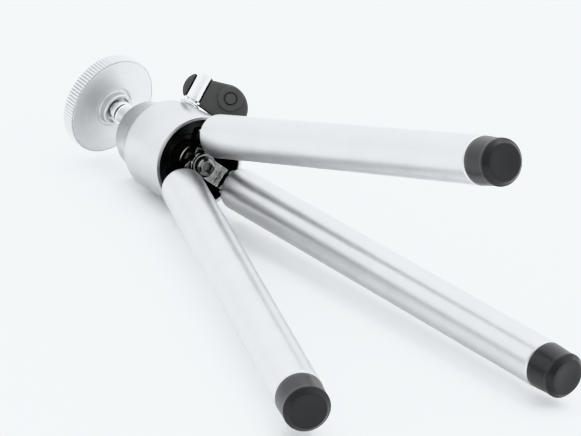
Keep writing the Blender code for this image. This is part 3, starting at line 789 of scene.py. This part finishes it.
def make_leg_fitting(leg):
    """Plug and collar in the tube's rim, with the tongue that turns on the pivot."""
    plug_top = TUBE_TOP - 2.0
    plug_end = plug_top - 8.0
    outline = [
        (0.0, -3.0),
        (3.5, -3.0),
        *arc(3.6, -3.4, 0.4, 80, 0, 5),
        (4.0, plug_top),
        (5.0, plug_top),
        (5.0, plug_end + 0.4),
        (4.6, plug_end),
        (0.0, plug_end),
    ]
    half_tongue = 2.3
    root = TUBE_TOP - 1.0
    tongue_outline = [(half_tongue, root), *arc(0.0, 0.0, half_tongue, 0, 180, 24), (-half_tongue, root)]
    tongue = extruded(tongue_outline, TONGUE_THICKNESS)
    round_rims(tongue, 0.25, 3)
    fitting = joined(turned(outline, 64), tongue)
    fitting = cut(fitting, moved(rod(PIN_BORE, -3.0, 3.0, 24), turned_over(90.0, "X")))
    make_piece(f"fitting_{leg}", fitting, LEG[leg], f"leg_{leg}", [f"leg_fitting_{leg}"],
               [CHROME_FITTING[leg]])


def make_foot(leg):
    """Rubber end plug: a tapering skirt, a fine waist line and a round button."""
    waist = FOOT_SEAM - 6.2
    outline = [
        (0.0, FOOT_SEAM + 9.0),
        (4.4, FOOT_SEAM + 9.0),
        (5.0, FOOT_SEAM + 8.0),
        (5.0, FOOT_SEAM),
        (5.7, FOOT_SEAM),
        *arc(5.75, FOOT_SEAM - 0.15, 0.15, 90, 0, 3),
        (5.86, FOOT_SEAM - 1.5),
        (5.72, FOOT_SEAM - 4.0),
        *arc(5.52, waist + 0.22, 0.12, 10, -80, 4),
        *arc(5.55, waist - 0.05, 0.2, 80, 0, 4),
        *arc(5.15, waist - 0.7, 0.6, 0, -55, 6),
        *arc(4.3, FOOT_TIP + 0.45, 0.45, -35, -90, 4),
        (3.2, FOOT_TIP),
        (2.4, FOOT_TIP + 0.12),
        (0.0, FOOT_TIP + 0.18),
    ]
    foot = turned(outline, 80)
    make_piece(f"foot_plug_{leg}", foot, LEG[leg], f"leg_{leg}", [f"foot_{leg}"],
               [BLACK_FOOT[leg]])


# Ball head


def make_stud():
    """Ball with a polished neck and a collar, drilled for the camera screw and its retaining pin."""
    collar_top = WHEEL_REACH - 2.8
    outline = [
        (0.0, -BALL_RADIUS),
        *arc(0.0, 0.0, BALL_RADIUS, -86, 64, 30),
        *arc(2.5, 5.0, 0.5, 244, 180, 4),
        (2.0, 6.0),
        (2.2, 12.0),
        (2.6, collar_top - 2.9),
        *arc(2.9, collar_top - 2.2, 0.3, 180, 100, 3),
        *arc(3.1, collar_top - 1.5, 0.3, -60, 0, 4),
        *arc(3.0, collar_top - 0.4, 0.4, 0, 90, 6),
        (1.8, collar_top),
        (1.7, collar_top - 0.1),
        (1.7, 14.0),
        (0.0, 14.0),
    ]
    stud = turned(outline, 72)
    stud = cut(stud, pin_hole())
    make_piece("stud", stud, STUD, "ball_head", ["ball_stud"], [CHROME_STUD])


def pin_hole():
    """The retaining pin's hole, which crosses the stud just beside the camera screw's groove."""
    low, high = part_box("retaining_pin")
    middle = STUD.inverted() @ ((low + high) / 2)
    place = Matrix.Translation((0.0, middle.y, middle.z)) @ turned_over(90.0, "Y")
    return moved(rod(0.7, -4.0, 4.0, 24), place)


def make_wheel():
    """Knurled wheel with a bored boss on its back, and with its face sunk a little inside the rim. The knurl's
    valleys get a darker material: painted shade.
    """
    web = WHEEL_RADIUS - 0.5
    front = WHEEL_THICKNESS
    outline = [
        (2.3, -1.4),
        (3.7, -1.4),
        (3.9, -1.6),
        (3.9, -2.3),
        (4.0, -2.4),
        (4.6, -2.4),
        (4.8, -2.2),
        (4.8, -0.3),
        (5.0, -0.1),
        (5.7, -0.1),
        (5.9, -0.35),
        (6.2, -0.45),
        (6.6, -0.45),
        (9.8, -0.2),
        (12.6, 0.0),
        (13.95, 0.0),
        (14.05, 0.1),
        (14.1, 0.35),
        (web, 0.35),
        (web + 0.02, 0.25),
        (web + 0.1, 0.15),
        (WHEEL_RADIUS, 0.4),
        (WHEEL_RADIUS, 0.8),
        (WHEEL_RADIUS, front - 0.8),
        (WHEEL_RADIUS, front - 0.3),
        (web + 0.02, front - 0.05),
        (web, front),
        (13.4, front),
        (13.3, front - 0.15),
        (2.6, front - 0.15),
        (2.3, front - 0.4),
    ]
    steps_per_rib = 4
    wheel = turned(outline, WHEEL_RIBS * steps_per_rib)
    rib_angle = math.tau / WHEEL_RIBS
    # Faces in the knurl's valleys take the darker second material: painted shade in the valleys.
    for face in wheel.faces:
        middle = face.calc_center_median()
        phase = (math.atan2(middle.y, middle.x) / rib_angle) % 1.0
        in_valley = math.hypot(middle.x, middle.y) > web + 0.2 and abs(phase - 0.5) > 0.25
        face.material_index = 1 if in_valley else 0
    for vert in wheel.verts:
        radius = math.hypot(vert.co.x, vert.co.y)
        if radius > web + 0.2:
            phase = (math.atan2(vert.co.y, vert.co.x) / rib_angle) % 1.0
            valley = KNURL_DEPTH * abs(2.0 * phase - 1.0)
            vert.co.xy *= (radius - valley) / radius
    make_piece("platform_disc", wheel, PLATFORM, "platform", ["platform_wheel"],
               [SATIN_WHEEL, KNURL_VALLEY_PAINTED_SHADE], 24.0)


def make_pad():
    """Friction pad with rounded rims and shallow ring grooves in its face."""
    back = WHEEL_THICKNESS + 0.2
    front = back + 1.0
    floor = front - 0.18
    face = [(11.9, front)]
    for number in range(7):
        middle = 11.0 - 0.8 * number
        face += [(middle + 0.2, front), (middle + 0.08, floor)]
        face += [(middle - 0.08, floor), (middle - 0.2, front)]
    outer_rim = arc(12.4, front - 0.4, 0.4, 0, 80, 5)
    outline = [(5.2, back), (12.8, back), *outer_rim, *face, (5.5, front), (5.2, front - 0.3)]
    pad = turned(outline, 96)
    make_piece("friction_pad", pad, PLATFORM, "platform", ["platform_pad"], [PAD])


def make_camera_screw():
    """Flanged 1/4 inch screw. Its thread is a helical wave in the turned shank."""
    flange = WHEEL_THICKNESS + 0.2
    rows_per_pitch = 10
    row = THREAD_PITCH / rows_per_pitch
    thread_start = flange + 0.7
    rows = int((THREAD_TOP - thread_start) / row)
    shank = [(THREAD_RADIUS, thread_start + row * number) for number in range(rows)]
    outline = [
        (0.0, -9.0),
        (1.2, -9.0),
        (1.4, -8.8),
        (1.4, -4.5),
        (0.8, -4.4),
        (0.8, -3.0),
        (1.4, -2.9),
        (1.4, -1.9),
        (2.0, -1.3),
        (2.0, flange),
        *arc(4.4, flange + 0.2, 0.2, -90, 0, 3),
        *arc(4.4, flange + 0.5, 0.2, 0, 90, 3),
        *shank,
        (THREAD_RADIUS - 0.6, THREAD_TOP),
        (0.0, THREAD_TOP),
    ]
    screw = turned(outline, 48)
    for vert in screw.verts:
        radius = math.hypot(vert.co.x, vert.co.y)
        if abs(radius - THREAD_RADIUS) < 0.01:
            turn = math.atan2(vert.co.y, vert.co.x) / math.tau
            phase = (vert.co.z / THREAD_PITCH - turn) % 1.0
            runout = min((THREAD_TOP - vert.co.z) / THREAD_RUNOUT, 1.0)
            depth = THREAD_DEPTH * abs(2.0 * phase - 1.0) + 0.45 * (1.0 - runout)
            vert.co.xy *= (radius - depth) / radius
    make_piece("camera_thread", screw, PLATFORM, "platform", ["camera_screw"], [ZINC_PLATFORM])


# Lock


def make_lock_screw():
    """Screw with a polished barrel, slotted for the lever's bridge."""
    outline = [
        (0.0, 9.2),
        (1.0, 9.2),
        (1.45, 9.65),
        (1.45, 13.8),
        *arc(BARREL_RADIUS - 0.15, 13.95, 0.15, -90, 0, 3),
        *arc(BARREL_RADIUS - 0.15, 14.25, 0.15, 0, 90, 3),
        (1.5, 14.6),
        (1.55, 14.75),
        *arc(BARREL_RADIUS - 0.4, 15.25, 0.4, -60, 0, 4),
        *arc(BARREL_RADIUS - 0.9, BARREL_TOP - 0.9, 0.9, 0, 90, 10),
        (0.0, BARREL_TOP),
    ]
    screw = turned(outline, 64)
    screw = cut(screw, block((-BRIDGE_REACH, -0.9, 16.2), (BRIDGE_REACH, 0.9, 21.2)))
    make_piece("lock_barrel", screw, LOCK, "lock", ["lock_screw"], [CHROME_LOCK])


def make_lever():
    """Moulded lever: a short lobe, a paddle with a round pad, and a ring groove in each side of the pad."""
    pad_place = Matrix.Translation(LEVER_PAD) @ turned_over(90.0, "X")
    lobe = []
    for angle in range(90, 271, 6):
        across = math.cos(math.radians(angle))
        along = math.sin(math.radians(angle))
        lobe.append((-0.8 + 3.5 * across, 18.2 + 4.3 * along))
    paddle = [(3.2, LEVER_BASE), (14.8, LEVER_BASE - 1.6), *arc(8.8, 16.9, 7.0, -15, 98, 36), (2.5, 22.4)]
    lever = extruded([*lobe, *paddle], LEVER_THICKNESS)
    round_rims(lever, 0.75, 5)
    lever = joined(lever, moved(rod(LEVER_PAD_RADIUS, -2.1, 2.1, 64), pad_place))
    for turn in (0.0, 180.0):
        groove = turned([(1.5, 1.7), (1.95, 1.7), (1.95, 2.9), (1.5, 2.9)], 64)
        lever = cut(lever, moved(groove, pad_place @ turned_over(turn, "X")))
    lever = cut(lever, rod(BARREL_RADIUS + 0.3, LEVER_BASE - 2.0, BARREL_TOP + 2.0, 48))
    lever = joined(lever, block((-BRIDGE_REACH, -0.6, 16.5), (BRIDGE_REACH, 0.6, 20.9)))
    lever = softened(lever, 0.09, 2)
    make_piece("lever", lever, LOCK, "lock", ["lock_lever"], [BLACK_LEVER], 60.0)


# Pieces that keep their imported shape


def dress_inner_parts():
    """Materials for the parts inside the hub and for the screw's pin."""
    dress = {
        "ball_cup": NYLON,
        "ball_liner": NYLON,
        "clamp_shoe": NYLON,
        "preload_washer": ZINC_HUB,
        "ball_retainer": ZINC_HUB,
        "retaining_pin": ZINC_PLATFORM,
    }
    for name, material in dress.items():
        mesh = frame["nodes"][name].data
        mesh.materials.clear()
        mesh.materials.append(material)


make_stage()
make_hub_shell()
make_lock_seat()
make_mouth_plug()
make_spider()
make_spider_fixings()
make_pivot_pins()
for leg_name in LEGS:
    make_leg_tube(leg_name)
    make_leg_fitting(leg_name)
    make_foot(leg_name)
make_stud()
make_wheel()
make_pad()
make_camera_screw()
make_lock_screw()
make_lever()
dress_inner_parts()
